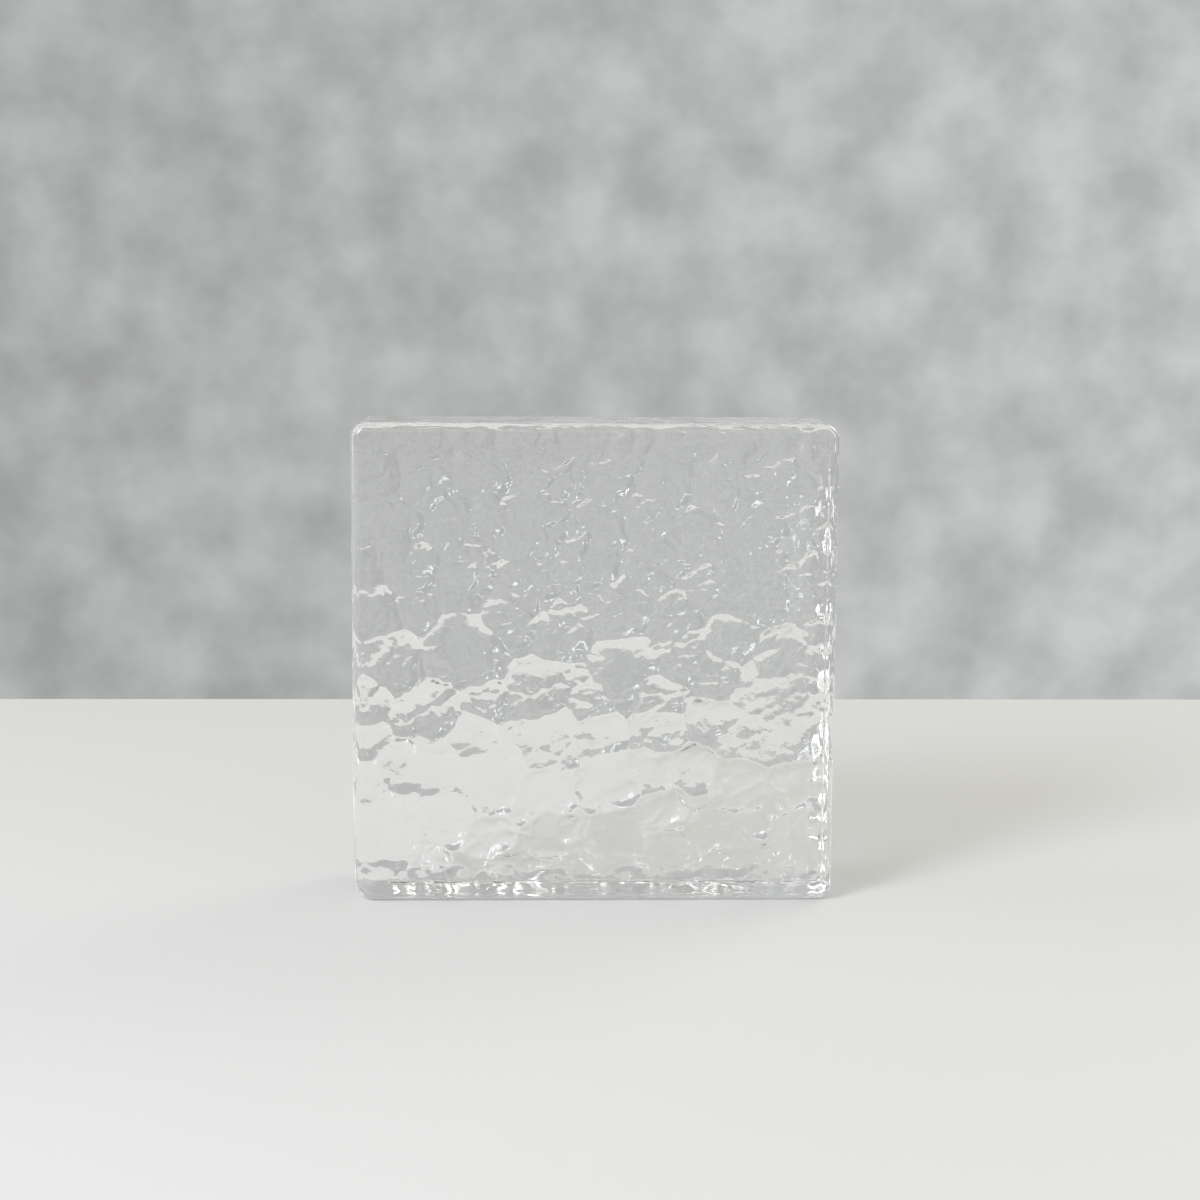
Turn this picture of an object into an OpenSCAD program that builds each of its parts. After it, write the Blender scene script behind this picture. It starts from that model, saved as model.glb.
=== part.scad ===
// A solid block of clear cast glass, 200 x 200 x 50 mm, standing on its lower rim.
// It is one piece. The front and the rims are smooth. The back is an ice pattern:
// low round lumps that crowd together, with sharp valleys where they meet.
// The origin is the middle of the underside, the front faces -Y, and +Z is up.

/* [Block] */
// Width, from side to side
block_w = 200; // [160:1:300]
// Height, as the block stands
block_h = 200; // [160:1:300]
// Thickness, from the smooth front to the crests of the back
block_t = 50; // [40:1:100]

/* [Rounding] */
// Radius of the soft edge all around the front
front_edge_r = 4; // [2:0.5:5]
// Radius of the soft edge all around the back
back_edge_r = 2; // [1:0.5:5]
// Radius of the four corners, seen from the front
corner_r = 7; // [6:0.5:20]

/* [Ice pattern] */
// Height of the tallest lump over the rim of the back
lump_h = 2.5; // [1.5:0.1:4]
// Width of the widest lump
lump_w = 44; // [36:1:60]

/* [Hidden] */
$fa = 3;
$fs = 0.8;

// The flat part of the back, inside its soft edge
flat_w = block_w - 2 * back_edge_r;
flat_h = block_h - 2 * back_edge_r;

// Thickness of the block at its rim, which the lumps stand on
rim_t = block_t - lump_h;

// The plan that the lumps are laid out on: the side of its square, and its widest lump
PLAN = 192;
PLAN_LUMP = 44;

// The lumps on the plan, row by row from the top. Each one has its place to the right of
// the middle, its place above the middle and its width, in mm on the plan, and its height
// as a share of the tallest lump's.
LUMPS = [
    [-84, 78, 30, 0.7], [-50, 76, 34, 0.8], [-12, 78, 36, 0.8], [26, 78, 32, 0.7],
    [60, 78, 34, 0.85], [88, 68, 26, 0.7],
    [-78, 46, 36, 0.9], [-38, 48, 38, 0.95], [2, 46, 36, 0.8], [40, 46, 36, 0.85],
    [76, 36, 38, 0.9],
    [-88, 12, 26, 0.8], [-55, 4, 38, 1], [-14, 12, 36, 0.9], [22, 10, 32, 0.85],
    [52, 12, 32, 0.9], [88, 2, 26, 0.8],
    [-84, -24, 30, 0.9], [-20, -24, 36, 0.95], [16, -26, 34, 0.85], [46, -22, 30, 0.85],
    [79, -30, 44, 1],
    [-62, -48, 34, 1], [-30, -58, 34, 0.9], [10, -56, 36, 0.85], [46, -58, 32, 0.8],
    [84, -66, 32, 0.8],
    [-82, -78, 34, 0.8], [-46, -82, 32, 0.8], [-12, -86, 28, 0.7], [14, -82, 28, 0.9],
    [44, -84, 30, 0.8], [74, -86, 28, 0.7],
];

// How far the thin edge of a lump lies below the rim of the back
sink = 1;

// Clear glass with the faint cool green of its depth
GLASS = [0.86, 0.93, 0.91, 0.45];

// A quarter of a circle, the profile of a soft edge
module soft_corner(r) {
    intersection() {
        circle(r = r);
        square(r);
    }
}

// The right half of the block's section in either direction, from the middle to a rim
module half_section(reach) {
    translate([0, front_edge_r - rim_t / 2])
        square([reach, rim_t - front_edge_r - back_edge_r]);
    translate([0, -rim_t / 2]) square([reach - front_edge_r, rim_t / 2]);
    translate([reach - front_edge_r, front_edge_r - rim_t / 2])
        mirror([0, 1, 0]) soft_corner(front_edge_r);
    square([reach - back_edge_r, rim_t / 2]);
    translate([reach - back_edge_r, rim_t / 2 - back_edge_r]) soft_corner(back_edge_r);
}

// The whole section, from rim to rim
module soft_section(across) {
    for (side = [0, 1]) mirror([side, 0, 0]) half_section(across / 2);
}

// One corner: a disc across the thickness, with the same soft edges around its rim
module corner_disc() {
    rotate([-90, 0, 0]) rotate_extrude() half_section(corner_r);
}

// The block before its pattern: an upright bar, a level bar and the four corners
module soft_slab() {
    linear_extrude(block_h - 2 * corner_r, center = true) soft_section(block_w);
    rotate([0, 90, 0])
        linear_extrude(block_w - 2 * corner_r, center = true) soft_section(block_h);
    for (x = [-1, 1], z = [-1, 1])
        translate([x * (block_w / 2 - corner_r), 0, z * (block_h / 2 - corner_r)])
            corner_disc();
}

// Radius of the sphere that a cap of this width and height is cut from
function sphere_r(across, tall) = (across * across / 4 + tall * tall) / (2 * tall);

// Distance from a lump's middle to its thin edge, which lies below the rim of the back
function reach(across, tall) =
    sqrt((tall + sink) * (2 * sphere_r(across, tall) - tall - sink));

// One lump: a lens of glass, sunk into the block so that only its upper side stands out
module lump(across, tall) {
    r = sphere_r(across, tall);
    rotate([-90, 0, 0])
        rotate_extrude()
            intersection() {
                translate([0, tall - r]) circle(r = r);
                translate([0, r - tall - 2 * sink]) circle(r = r);
                translate([0, -across]) square([across, 2 * across]);
            }
}

// A place on the plan as a share of the way from the middle to where the lump of this
// width meets the plan's edge: -1 to 1
function share(place, across) = max(-1, min(1, 2 * place / (PLAN - across)));

// Every lump stays inside the flat part of the back, at any size of the block
module ice_pattern() {
    for (l = LUMPS) {
        across = l[2] / PLAN_LUMP * lump_w;
        tall = l[3] * lump_h;
        translate([
            share(l[0], l[2]) * (flat_w / 2 - reach(across, tall)),
            rim_t / 2,
            share(l[1], l[2]) * (flat_h / 2 - reach(across, tall)),
        ])
            lump(across, tall);
    }
}

// The slab and its lumps together are as thick as the block, about the origin's plane
module glass_block() {
    color(GLASS)
        translate([0, -lump_h / 2, block_h / 2]) {
            soft_slab();
            ice_pattern();
        }
}

glass_block();
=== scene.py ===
import math

import bmesh
import bpy
import numpy as np
from mathutils import Matrix, Vector, noise


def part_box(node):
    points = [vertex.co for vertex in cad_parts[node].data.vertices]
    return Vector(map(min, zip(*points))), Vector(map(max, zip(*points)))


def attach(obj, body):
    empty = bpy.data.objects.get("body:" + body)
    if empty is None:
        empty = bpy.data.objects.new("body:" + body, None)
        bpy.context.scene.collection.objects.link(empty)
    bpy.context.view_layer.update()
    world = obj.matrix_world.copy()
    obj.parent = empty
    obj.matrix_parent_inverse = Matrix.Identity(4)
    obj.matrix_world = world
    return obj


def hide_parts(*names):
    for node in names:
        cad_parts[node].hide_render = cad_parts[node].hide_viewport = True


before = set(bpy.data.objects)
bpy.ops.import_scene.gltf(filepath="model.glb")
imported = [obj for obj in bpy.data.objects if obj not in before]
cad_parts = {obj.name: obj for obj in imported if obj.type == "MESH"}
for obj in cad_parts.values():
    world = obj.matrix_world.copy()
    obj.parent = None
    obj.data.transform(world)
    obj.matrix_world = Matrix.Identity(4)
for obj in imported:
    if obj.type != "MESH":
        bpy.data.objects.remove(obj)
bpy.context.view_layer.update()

# --- Glass block -----------------------------------------------------------------------
# One solid piece of clear soda-lime glass, poured hot into an open mould and cooled
# slowly. The heat has polished its front and rims smooth, and the mould has left the ice
# pattern on its back: broad lumps that crowd together, with sharp valleys between them.

MM = 0.001
low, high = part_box("glass_block")
block_size = (high - low) / MM
block_centre = (low + high) / 2

FRONT_EDGE_R = 4.0        # soft edge around the front, mm
BACK_EDGE_R = 2.0         # and around the back, mm
LUMP_H = 2.5              # height of the tallest lump over the rim of the back, mm
RIM_ROWS = 7              # rows of faces from front to back around the rims
FRONT_STEPS = 63          # steps along each straight side of the front, 3 mm each
BACK_STEPS = 4            # steps of the back for each one of the front
CORNER_STEPS = 12         # steps around each corner
EDGE_STEPS = 6            # steps around each soft edge

# Corner radii seen from the front, mm. No two corners of a poured block are alike.
CORNERS = {(-1, 1): 6.5, (1, 1): 6.5, (-1, -1): 8.5, (1, -1): 5.5}

# The broad lumps of the back in mm, as seen through the front: place across from the
# middle, place up from the base, width and height.
LUMPS = [
    (-94, 196, 22, 1.2), (-72, 192, 26, 1.4), (-50, 196, 24, 1.2), (-27, 190, 26, 1.5),
    (-4, 196, 24, 1.3), (17, 190, 24, 1.4), (40, 194, 26, 1.4), (62, 190, 24, 1.4),
    (82, 196, 24, 1.3), (98, 186, 24, 1.4),
    (-92, 176, 24, 1.5), (-70, 172, 24, 1.5), (-48, 178, 22, 1.3), (-14, 174, 24, 1.4),
    (8, 172, 22, 1.4), (32, 174, 24, 1.5), (58, 170, 30, 1.8), (80, 174, 24, 1.5),
    (-84, 156, 26, 1.7), (-60, 154, 24, 1.6), (-42, 158, 20, 1.3), (-24, 154, 34, 2.0),
    (2, 154, 26, 1.5), (24, 158, 24, 1.6), (44, 152, 24, 1.5), (70, 150, 28, 1.7),
    (94, 158, 24, 1.7),
    (-98, 138, 22, 1.7), (-76, 136, 26, 1.7), (-52, 136, 24, 1.6), (-28, 130, 26, 1.7),
    (-4, 136, 26, 1.7), (27, 138, 26, 1.6), (12, 120, 26, 1.6), (52, 130, 28, 1.8),
    (74, 130, 24, 1.6), (95, 132, 24, 1.8),
    (-92, 117, 24, 1.9), (-74, 118, 18, 1.3), (-56, 124, 20, 1.2), (-36, 114, 22, 1.5),
    (-13, 108, 26, 1.7), (34, 116, 24, 1.6), (66, 122, 22, 1.3), (40, 99, 26, 1.7),
    (-55, 101, 34, 2.5), (-84, 97, 26, 2.1), (-22, 84, 31, 2.4), (-2, 80, 20, 1.4),
    (14, 93, 31, 2.4), (27, 80, 20, 1.4), (60, 107, 22, 1.9), (54, 90, 22, 1.5),
    (84, 97, 30, 2.4), (84, 84, 30, 2.5), (99, 104, 22, 1.8),
    (-98, 78, 24, 1.9), (-66, 77, 24, 2.1), (-80, 72, 15, 1.5), (-45, 79, 20, 1.7),
    (-94, 62, 18, 1.6), (-50, 63, 20, 1.5), (-17, 62, 31, 2.5), (4, 63, 24, 1.7),
    (27, 66, 24, 2.0), (49, 70, 20, 2.0), (79, 73, 48, 2.5), (62, 62, 18, 1.4),
    (-65, 47, 26, 2.5), (-83, 51, 22, 2.1), (-98, 42, 22, 1.7), (-42, 44, 34, 2.2),
    (-20, 40, 26, 1.8), (6, 44, 28, 1.8), (26, 49, 22, 1.6), (44, 50, 20, 1.9),
    (63, 42, 28, 1.8), (86, 42, 28, 1.7),
    (-89, 20, 34, 1.9), (-64, 27, 24, 1.7), (-44, 21, 22, 1.5), (-31, 33, 14, 1.3),
    (-18, 20, 24, 1.6), (10, 20, 26, 2.1), (30, 30, 22, 1.6), (34, 13, 20, 1.3),
    (53, 22, 24, 1.6), (71, 29, 20, 1.5), (90, 18, 26, 1.7), (69, 12, 18, 1.2),
    (-96, -2, 24, 1.5), (-72, 6, 24, 1.8), (-50, 0, 22, 1.3), (-30, 4, 20, 1.4),
    (-8, -1, 24, 1.4), (14, 2, 20, 1.5), (36, -2, 24, 1.4), (56, 4, 20, 1.5),
    (76, -1, 22, 1.4), (96, 2, 20, 1.5),
]

# Places where the small lumps and creases fade out and the surface lies smooth, in mm:
# across from the middle, up from the base, and radius
CALM = [
    (-90, 20, 18), (-42, 43, 15), (10, 18, 12), (46, 70, 9), (80, 64, 17), (-55, 106, 15),
    (-20, 93, 10), (-18, 71, 11), (8, 100, 12), (60, 111, 8), (-65, 50, 9), (34, 148, 9),
]


def pick(bm, kind, test):
    """In edit mode, selects the edges or faces that the test picks, and nothing else."""
    modes = {"edges": (False, True, False), "faces": (False, False, True)}
    bpy.context.tool_settings.mesh_select_mode = modes[kind]
    bpy.ops.mesh.select_all(action="DESELECT")
    for part in getattr(bm, kind):
        if test(part):
            part.select_set(True)
    bm.select_flush_mode()
    bmesh.update_edit_mesh(block.data)


def along(edge):
    """An edge's direction and length, in mm."""
    return (edge.verts[1].co - edge.verts[0].co) / MM


rim_depth = block_size.y - LUMP_H
bpy.ops.object.select_all(action="DESELECT")
bpy.ops.mesh.primitive_cube_add(size=1)
block = bpy.context.object
block.name = "cast_glass"
block.dimensions = (block_size.x * MM, rim_depth * MM, block_size.z * MM)
block.location = block_centre - Vector((0, LUMP_H * MM / 2, 0))
bpy.ops.object.transform_apply(location=True, rotation=True, scale=True)
front_y = low.y
rim_y = high.y - LUMP_H * MM

bpy.ops.object.mode_set(mode="EDIT")
bm = bmesh.from_edit_mesh(block.data)


def runs_through(e):
    """True for an edge that runs the whole way from front to back."""
    return abs(along(e).y) > 0.9 * rim_depth


def is_corner(e, side, end):
    """True for the sharp edge at this corner: side is -1 at the left and 1 at the right,
    and end is -1 at the bottom and 1 at the top."""
    middle = (e.verts[0].co + e.verts[1].co) / 2 - block_centre
    here = runs_through(e) and middle.x * side > 0 and middle.z * end > 0
    return here and len(e.link_faces) == 2 and e.calc_face_angle() > math.radians(80)


# The four corners are rounded first, each with its own radius
for (side, end), radius in CORNERS.items():
    pick(bm, "edges", lambda e: is_corner(e, side, end))
    bpy.ops.mesh.bevel(offset=radius * MM, segments=CORNER_STEPS, profile=0.5, affect="EDGES")
    bm = bmesh.from_edit_mesh(block.data)
# The straight sides are cut into short steps, the rims into rows, and the back finer still
pick(bm, "edges", lambda e: abs(along(e).y) < 0.01 and along(e).length > 100)
bpy.ops.mesh.subdivide(number_cuts=FRONT_STEPS - 1)
bm = bmesh.from_edit_mesh(block.data)
pick(bm, "edges", runs_through)
bpy.ops.mesh.subdivide(number_cuts=RIM_ROWS - 1)
bm = bmesh.from_edit_mesh(block.data)


def lies_at(e, y):
    """True for an edge that lies across the thickness at this y."""
    return all(abs(v.co.y - y) < 1e-6 for v in e.verts)


# Only the straight sides: a step around a corner is shorter than this
LONGEST_CORNER_STEP = 2.5
pick(bm, "edges", lambda e: lies_at(e, rim_y) and along(e).length > LONGEST_CORNER_STEP)
bpy.ops.mesh.subdivide(number_cuts=BACK_STEPS - 1)
bm = bmesh.from_edit_mesh(block.data)
# The edges around the front and the back are rounded, the front's more
for at_y, radius in ((front_y, FRONT_EDGE_R), (rim_y, BACK_EDGE_R)):
    pick(bm, "edges", lambda e: lies_at(e, at_y))
    bpy.ops.mesh.bevel(offset=radius * MM, segments=EDGE_STEPS, profile=0.5,
                       affect="EDGES", clamp_overlap=False)
    bm = bmesh.from_edit_mesh(block.data)
# Each wide row of the rims is cut in three, so that they can be a little uneven
WIDE_ROW = 5.5
pick(bm, "edges", lambda e: abs(along(e).y) > WIDE_ROW)
bpy.ops.mesh.subdivide(number_cuts=2)
bm = bmesh.from_edit_mesh(block.data)
# The front and the back become grids of squares, the back's fine enough for the pattern
pick(bm, "faces", lambda f: len(f.verts) > 100)
bpy.ops.mesh.delete(type="ONLY_FACE")
for at_y, steps in ((front_y, FRONT_STEPS), (rim_y, FRONT_STEPS * BACK_STEPS)):
    bm = bmesh.from_edit_mesh(block.data)
    pick(bm, "edges", lambda e: e.is_boundary and lies_at(e, at_y))
    first_corner = max((v for v in bm.verts if v.select), key=lambda v: v.co.z - v.co.x)
    bm.select_history.add(first_corner)
    bpy.ops.mesh.fill_grid(span=steps + CORNER_STEPS, offset=0)
bpy.ops.mesh.select_all(action="SELECT")
bpy.ops.mesh.normals_make_consistent(inside=False)
bpy.ops.object.mode_set(mode="OBJECT")


def ramp(value, start, end):
    """0 below start and 1 above end, with a smooth rise between."""
    t = np.clip((value - start) / (end - start), 0, 1)
    return t * t * (3 - 2 * t)


def wander(x, z, size, seed):
    """Smooth noise from -1 to 1 at each point, with waves of about this size in mm."""
    return np.array([noise.noise(Vector((a / size, b / size, seed))) for a, b in zip(x, z)])


def cells(x, z, size, seed):
    """Distance from each point to the nearest and the second nearest of scattered
    points that lie about this far apart, as shares of that spacing."""
    found = [noise.voronoi(Vector((a / size, b / size, seed)))[0] for a, b in zip(x, z)]
    return np.array([f[0] for f in found]), np.array([f[1] for f in found])


def lump_height(x, z):
    """Height in mm of the broad lumps: each is a low pillow, and the higher of two
    neighbours wins, so that a valley runs where they meet."""
    softness = 0.08     # how round the valleys are, mm
    floor = -0.8        # level between lumps that don't meet, mm
    total = np.full_like(x, math.exp(floor / softness))
    for cx, cz, across, tall in LUMPS:
        r2 = ((x - cx) ** 2 + (z - cz) ** 2) / (across / 2) ** 2
        total += np.exp(np.clip(tall * (1 - r2 ** 1.5), -3, None) / softness)
    return softness * np.log(total)


def pillows(x, z, size, seed, valley):
    """Small lumps with flat tops, from 0 in the valleys between them to about 1."""
    near, second = cells(x, z, size, seed)
    return 1 - np.exp(-(second - near) / valley)


def dimples(x, z, count, seed):
    """Depth in mm of small round dents, which the mould left here and there."""
    chance = np.random.default_rng(seed)
    depth = np.zeros_like(x)
    for _ in range(count):
        cx, cz = chance.uniform(-96, 96), chance.uniform(6, 194)
        radius, deep = chance.uniform(0.9, 2.2), chance.uniform(0.15, 0.40)
        r2 = ((x - cx) ** 2 + (z - cz) ** 2) / radius ** 2
        depth += deep * np.exp(-r2)
    return depth


def ice_relief(x, z):
    """Height in mm of the whole ice pattern over the rim of the back."""
    # The broad lumps are pushed a little out of round, by waves 16 and 5 mm long
    wx = x + 3.0 * wander(x, z, 16, 1.0) + 1.2 * wander(x, z, 5, 2.0)
    wz = z + 3.0 * wander(x, z, 16, 3.0) + 1.2 * wander(x, z, 5, 4.0)
    height = lump_height(wx, wz)
    # Small lumps and waves lie over them, and are drawn out along a slant up to the right
    slant = math.radians(35)
    stretch = 1.5
    run = (wx * math.cos(slant) + wz * math.sin(slant)) / stretch
    rise = wz * math.cos(slant) - wx * math.sin(slant)
    # They are strong in some places, faint in others, and strongest near the top
    busy = 0.55 + 0.45 * ramp(wander(x, z, 26, 11.0), -0.25, 0.25)
    for cx, cz, radius in CALM:
        busy *= 1 - 0.8 * np.exp(-((x - cx) ** 2 + (z - cz) ** 2) / radius ** 2)
    busy *= 1 + 0.5 * ramp(z, 100, 150)
    height += 0.75 * busy * (pillows(run, rise, 8.5, 5.0, 0.16) - 0.8)
    height += 0.80 * np.sqrt(busy) * wander(run, rise, 13.0, 8.0)
    height += 0.75 * busy * wander(run, rise, 6.0, 7.0)
    height += 0.26 * busy * (pillows(wx, wz, 4.2, 6.0, 0.2) - 0.7)
    height -= dimples(wx, wz, 140, 5)
    # At the foot and at the right side the back falls away in a wavy slope
    foot = 7 + 5 * wander(x, z, 18, 21.0) + 2 * wander(x, z, 6, 22.0)
    height -= 0.55 * np.clip(foot - z, 0, None)
    right = 93 + 4 * wander(x, z, 11, 31.0) + 2 * wander(x, z, 5, 32.0)
    height -= 0.50 * np.clip(x - right, 0, None)
    # No crest stands out past the thickness of the block: the highest are rounded off
    crest = 0.35
    return LUMP_H - crest * np.log1p(np.exp((LUMP_H - height) / crest))


mesh = block.data
co = np.empty(len(mesh.vertices) * 3)
mesh.vertices.foreach_get("co", co)
co = co.reshape(-1, 3)
out = np.empty(len(mesh.vertices) * 3)
mesh.vertices.foreach_get("normal", out)
out = out.reshape(-1, 3)
# The rims are a little uneven, in waves 14 and 5 mm long, and never stand out past their
# true planes. The front stays true.
unevenness = np.array([
    0.25 * (1 + noise.noise(v / (14 * MM))) + 0.10 * (1 + noise.noise(v / (5 * MM)))
    for v in (Vector(c) for c in co)
])
y_mm = (co[:, 1] - front_y) / MM
pull = unevenness * ramp(y_mm, FRONT_EDGE_R, rim_depth) * MM
co[:, 0] -= out[:, 0] * pull
co[:, 2] -= out[:, 2] * pull
x = (co[:, 0] - block_centre.x) / MM
z = (co[:, 2] - low.z) / MM
# The pattern runs out over the soft edge, where it fades as the surface turns away
share = ramp((co[:, 1] - rim_y) / MM, -BACK_EDGE_R, 0)
on_back = share > 0
co[on_back, 1] += ice_relief(x[on_back], z[on_back]) * share[on_back] * MM
mesh.vertices.foreach_set("co", co.ravel())
mesh.update()
bpy.ops.object.shade_smooth()


def add(tree, kind, inputs=None, links=None, **settings):
    """One node, with its settings, its input values and the outputs linked into it."""
    node = tree.nodes.new("ShaderNode" + kind)
    for name, value in settings.items():
        setattr(node, name, value)
    for name, value in (inputs or {}).items():
        node.inputs[name].default_value = value
    for name, source in (links or {}).items():
        tree.links.new(source, node.inputs[name])
    return node


def colour(hex_code):
    """An sRGB hex colour as the linear values that Blender works in."""
    parts = [int(hex_code[i:i + 2], 16) / 255 for i in (1, 3, 5)]
    return [c / 12.92 if c <= 0.04045 else ((c + 0.055) / 1.055) ** 2.4 for c in parts] + [1]


def cast_glass():
    """Clear soda-lime glass, cast. Its front and rims are fire-polished, so they are as
    smooth as water. Its back keeps the skin of the mould: fine wrinkles and small pits."""
    material = bpy.data.materials.new("cast_soda_lime_glass")
    material.use_nodes = True
    tree = material.node_tree
    tree.nodes.clear()
    place = add(tree, "TexCoord")
    where = place.outputs["Object"]
    wrinkle_size, pit_size, skin_size = 7 * MM, 2.6 * MM, 0.9 * MM
    wrinkles = add(tree, "TexNoise", {"Scale": 1 / wrinkle_size, "Detail": 2, "Distortion": 0.6},
                   {"Vector": where}, noise_type="RIDGED_MULTIFRACTAL")
    pits = add(tree, "TexVoronoi", {"Scale": 1 / pit_size}, {"Vector": where},
               feature="SMOOTH_F1")
    skin = add(tree, "TexNoise", {"Scale": 1 / skin_size, "Detail": 2}, {"Vector": where})
    parts = add(tree, "SeparateXYZ", links={"Vector": where})
    back = add(tree, "MapRange", {"From Min": rim_y - 2 * BACK_EDGE_R * MM, "From Max": rim_y},
               {"Value": parts.outputs["Y"]}, interpolation_type="SMOOTHSTEP")
    wrinkled = add(tree, "Bump", {"Distance": 0.12 * MM},
                   {"Height": wrinkles.outputs["Fac"], "Strength": back.outputs["Result"]})
    pitted = add(tree, "Bump", {"Distance": 0.12 * MM},
                 {"Height": pits.outputs["Distance"], "Strength": back.outputs["Result"],
                  "Normal": wrinkled.outputs["Normal"]})
    skinned = add(tree, "Bump", {"Distance": 0.06 * MM},
                  {"Height": skin.outputs["Fac"], "Strength": back.outputs["Result"],
                   "Normal": pitted.outputs["Normal"]})
    glass = add(tree, "BsdfPrincipled",
                {"Base Color": colour("#ffffff"), "Roughness": 0.0, "IOR": 1.52,
                 "Transmission Weight": 1.0},
                {"Normal": skinned.outputs["Normal"]})
    add(tree, "OutputMaterial", links={"Surface": glass.outputs["BSDF"]})
    return material


block.data.materials.append(cast_glass())
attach(block, "root")
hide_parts("glass_block")

# --- Table -----------------------------------------------------------------------------
# The pale table top that the block stands on: a board faced with satin white laminate.
# It ends a little way behind the block. Its top is a hair below the block's underside.

TABLE_THICK = 0.03
TABLE_GAP = 0.0002
TABLE_FRONT = -4.0
TABLE_BACK = 0.418
TABLE_HALF_WIDTH = 2.5
bpy.ops.object.select_all(action="DESELECT")
bpy.ops.mesh.primitive_cube_add(size=1)
table = bpy.context.object
table.name = "table"
table.dimensions = (2 * TABLE_HALF_WIDTH, TABLE_BACK - TABLE_FRONT, TABLE_THICK)
table.location = (0, (TABLE_BACK + TABLE_FRONT) / 2, -TABLE_THICK / 2 - TABLE_GAP)
bpy.ops.object.transform_apply(location=True, rotation=True, scale=True)


def satin_white():
    """Melamine laminate with a satin face: plain, pale, and with soft reflections only."""
    material = bpy.data.materials.new("satin_white_laminate")
    material.use_nodes = True
    shader = material.node_tree.nodes["Principled BSDF"]
    shader.inputs["Base Color"].default_value = colour("#dddcd9")
    shader.inputs["Roughness"].default_value = 0.45
    return material


table.data.materials.append(satin_white())

# --- Backdrop --------------------------------------------------------------------------
# A grey cloth far behind the table, hung flat. It is drawn as painted light: a glow that stands in
# for the lit cloth, uneven in soft clouds.

BACKDROP_Y = 1.9
BACKDROP_MIDDLE_Z = 1.4
BACKDROP_WIDTH = 7
BACKDROP_HEIGHT = 5
bpy.ops.object.select_all(action="DESELECT")
bpy.ops.mesh.primitive_plane_add(size=1, location=(0, BACKDROP_Y, BACKDROP_MIDDLE_Z),
                                 rotation=(math.radians(90), 0, 0))
backdrop = bpy.context.object
backdrop.name = "backdrop"
backdrop.scale = (BACKDROP_WIDTH, BACKDROP_HEIGHT, 1)
bpy.ops.object.transform_apply(location=True, rotation=True, scale=True)


def painted_glow_backdrop():
    """Grey cloth drawn as painted light: a glow that stands in for the cloth lit by lamps out of
    view, with a painted falloff that is a little stronger at the right. The glow is uneven in soft
    clouds about 80 mm across."""
    material = bpy.data.materials.new("grey_backdrop_painted_glow")
    material.use_nodes = True
    tree = material.node_tree
    tree.nodes.clear()
    place = add(tree, "TexCoord")
    clouds_per_metre = 12.0
    cloud = add(tree, "TexNoise", {"Scale": clouds_per_metre, "Detail": 3},
                {"Vector": place.outputs["Object"]})
    parts = add(tree, "SeparateXYZ", links={"Vector": place.outputs["Object"]})
    # Painted falloff of light: the glow grows brighter towards the right
    across = add(tree, "MapRange",
                 {"From Min": -0.8, "From Max": 0.8, "To Min": 0.80, "To Max": 1.05},
                 {"Value": parts.outputs["X"]})
    # The glow's brightness varies in soft clouds
    mottle = add(tree, "MapRange",
                 {"From Min": 0.3, "From Max": 0.7, "To Min": 0.87, "To Max": 1.19},
                 {"Value": cloud.outputs["Fac"]})
    level = add(tree, "Math", links={0: across.outputs["Result"], 1: mottle.outputs["Result"]},
                operation="MULTIPLY")
    # The backdrop glows though it is no lamp: painted light standing in for the lit grey cloth
    glow = add(tree, "Emission", {"Color": colour("#b8bab9")}, {"Strength": level.outputs["Value"]})
    add(tree, "OutputMaterial", links={"Surface": glow.outputs["Emission"]})
    return material


backdrop.data.materials.append(painted_glow_backdrop())

# --- Light and camera ------------------------------------------------------------------
# A pale room gives soft light from all around. A large window at the front left is the
# main light. A card behind at the right and a card at the left open up the shadows.

world = bpy.data.worlds.new("room")
bpy.context.scene.world = world
world.use_nodes = True
sky = world.node_tree
sky.nodes.clear()
way = add(sky, "TexCoord")
heading = add(sky, "SeparateXYZ", links={"Vector": way.outputs["Generated"]})
# The walls are bright, the ceiling is dimmer, and so is the room low down
walls = add(sky, "MapRange", {"From Min": 0.0, "From Max": 0.3, "To Min": 0.50, "To Max": 1.40},
            {"Value": heading.outputs["Z"]})
ceiling = add(sky, "MapRange", {"From Min": 0.5, "From Max": 0.9, "To Min": 1.0, "To Max": 0.35},
              {"Value": heading.outputs["Z"]})
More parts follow.
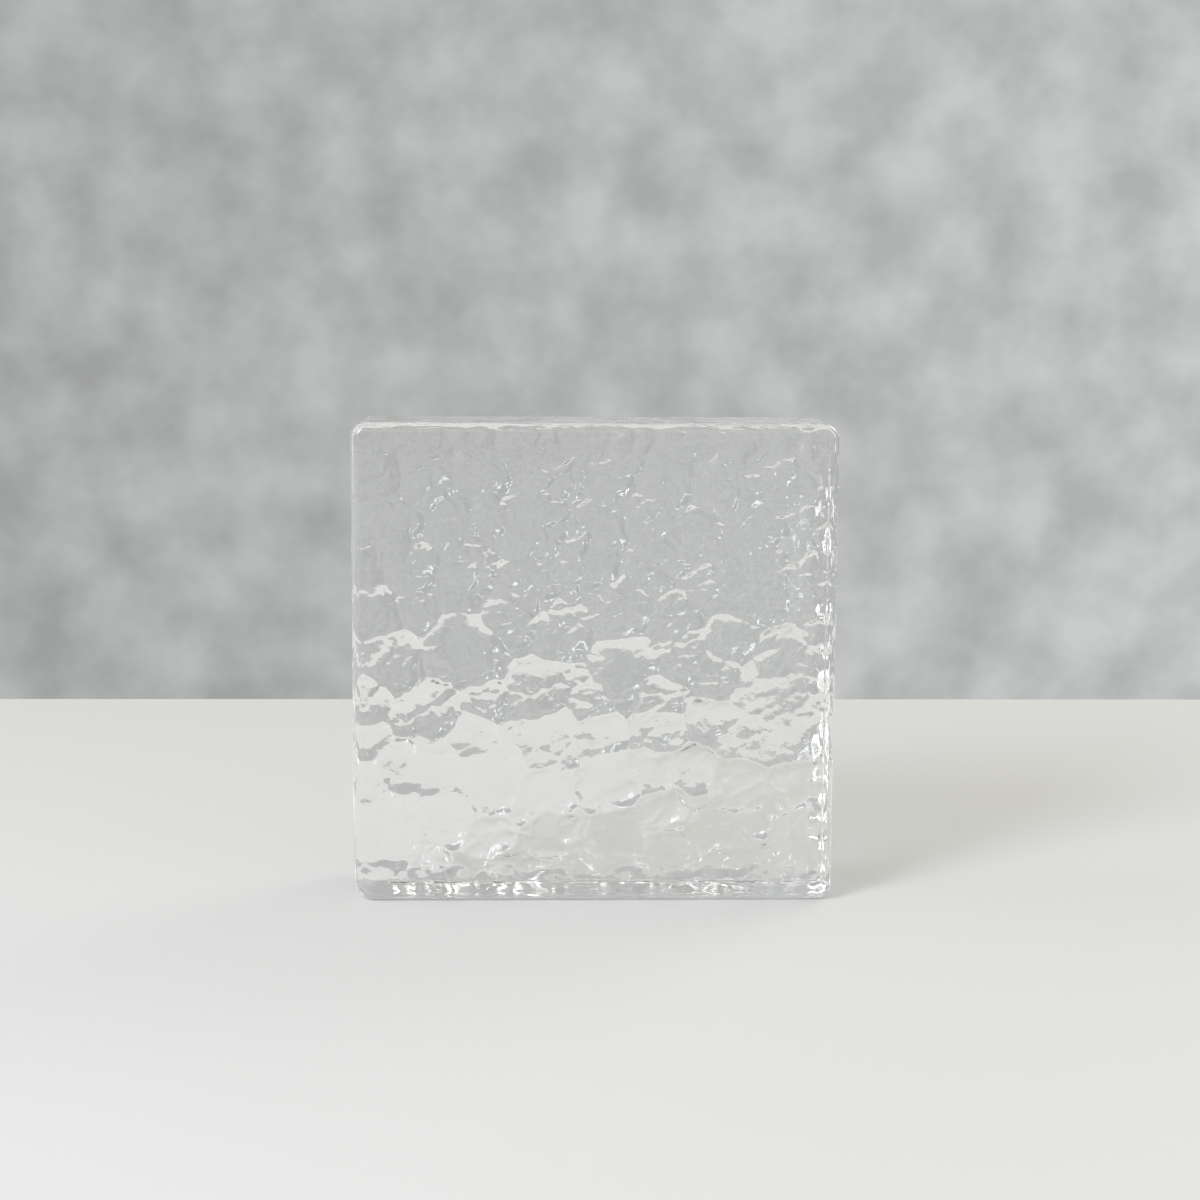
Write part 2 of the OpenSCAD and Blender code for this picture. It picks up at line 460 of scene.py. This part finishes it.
# The room is a little brighter on the window's side
towards = add(sky, "VectorMath", {1: (-0.7, -0.3, 0.0)}, {0: way.outputs["Generated"]},
              operation="DOT_PRODUCT")
window_side = add(sky, "MapRange", {"From Min": -0.8, "From Max": 0.8, "To Min": 0.8, "To Max": 1.2},
                  {"Value": towards.outputs["Value"]})
by_height = add(sky, "Math", links={0: walls.outputs["Result"], 1: ceiling.outputs["Result"]},
                operation="MULTIPLY")
room_level = add(sky, "Math",
                 links={0: by_height.outputs["Value"], 1: window_side.outputs["Result"]},
                 operation="MULTIPLY")
room_light = add(sky, "Background", {"Color": colour("#eeece6")},
                 {"Strength": room_level.outputs["Value"]})
add(sky, "OutputWorld", links={"Surface": room_light.outputs["Background"]})


def soft_light(name, place, aim, size, power, tint):
    """A rectangle of light, size in metres and power in watts, that faces the aim."""
    lamp = bpy.data.lights.new(name, "AREA")
    lamp.shape = "RECTANGLE"
    lamp.size, lamp.size_y = size
    lamp.energy = power
    lamp.color = colour(tint)[:3]
    holder = bpy.data.objects.new(name, lamp)
    bpy.context.scene.collection.objects.link(holder)
    holder.location = place
    holder.rotation_euler = (Vector(aim) - Vector(place)).to_track_quat("-Z", "Y").to_euler()


soft_light("window", (-1.2, -1.3, 1.2), (0, 0, 0.1), (0.75, 0.95), 31, "#e2ebf8")
soft_light("back_card", (1.0, 0.9, 1.1), (0.1, 0.15, 0), (0.8, 0.8), 5, "#fbf9f4")
soft_light("left_card", (-1.5, 0.05, 0.45), (0, 0, 0.1), (0.4, 0.9), 4, "#f4f7fb")

# The camera looks at the block almost head on, from a little above its middle
camera = bpy.data.objects.new("camera", bpy.data.cameras.new("camera"))
bpy.context.scene.collection.objects.link(camera)
camera.data.lens = 70.2
camera.data.sensor_width = 36
camera.data.clip_start = 0.01
turn = Matrix.Rotation(math.radians(-1.74), 4, "Z")
tilt = Matrix.Rotation(math.radians(90 - 8.59), 4, "X")
roll = Matrix.Rotation(math.radians(0.36), 4, "Z")
camera.matrix_world = Matrix.Translation((-0.0268, -0.9752, 0.2712)) @ turn @ tilt @ roll
bpy.context.scene.camera = camera
bpy.context.scene.view_settings.view_transform = "Standard"
# Light turns many times inside the glass, so it is followed further than usual
bpy.context.scene.cycles.max_bounces = 14
bpy.context.scene.cycles.glossy_bounces = 10
bpy.context.scene.cycles.transmission_bounces = 14
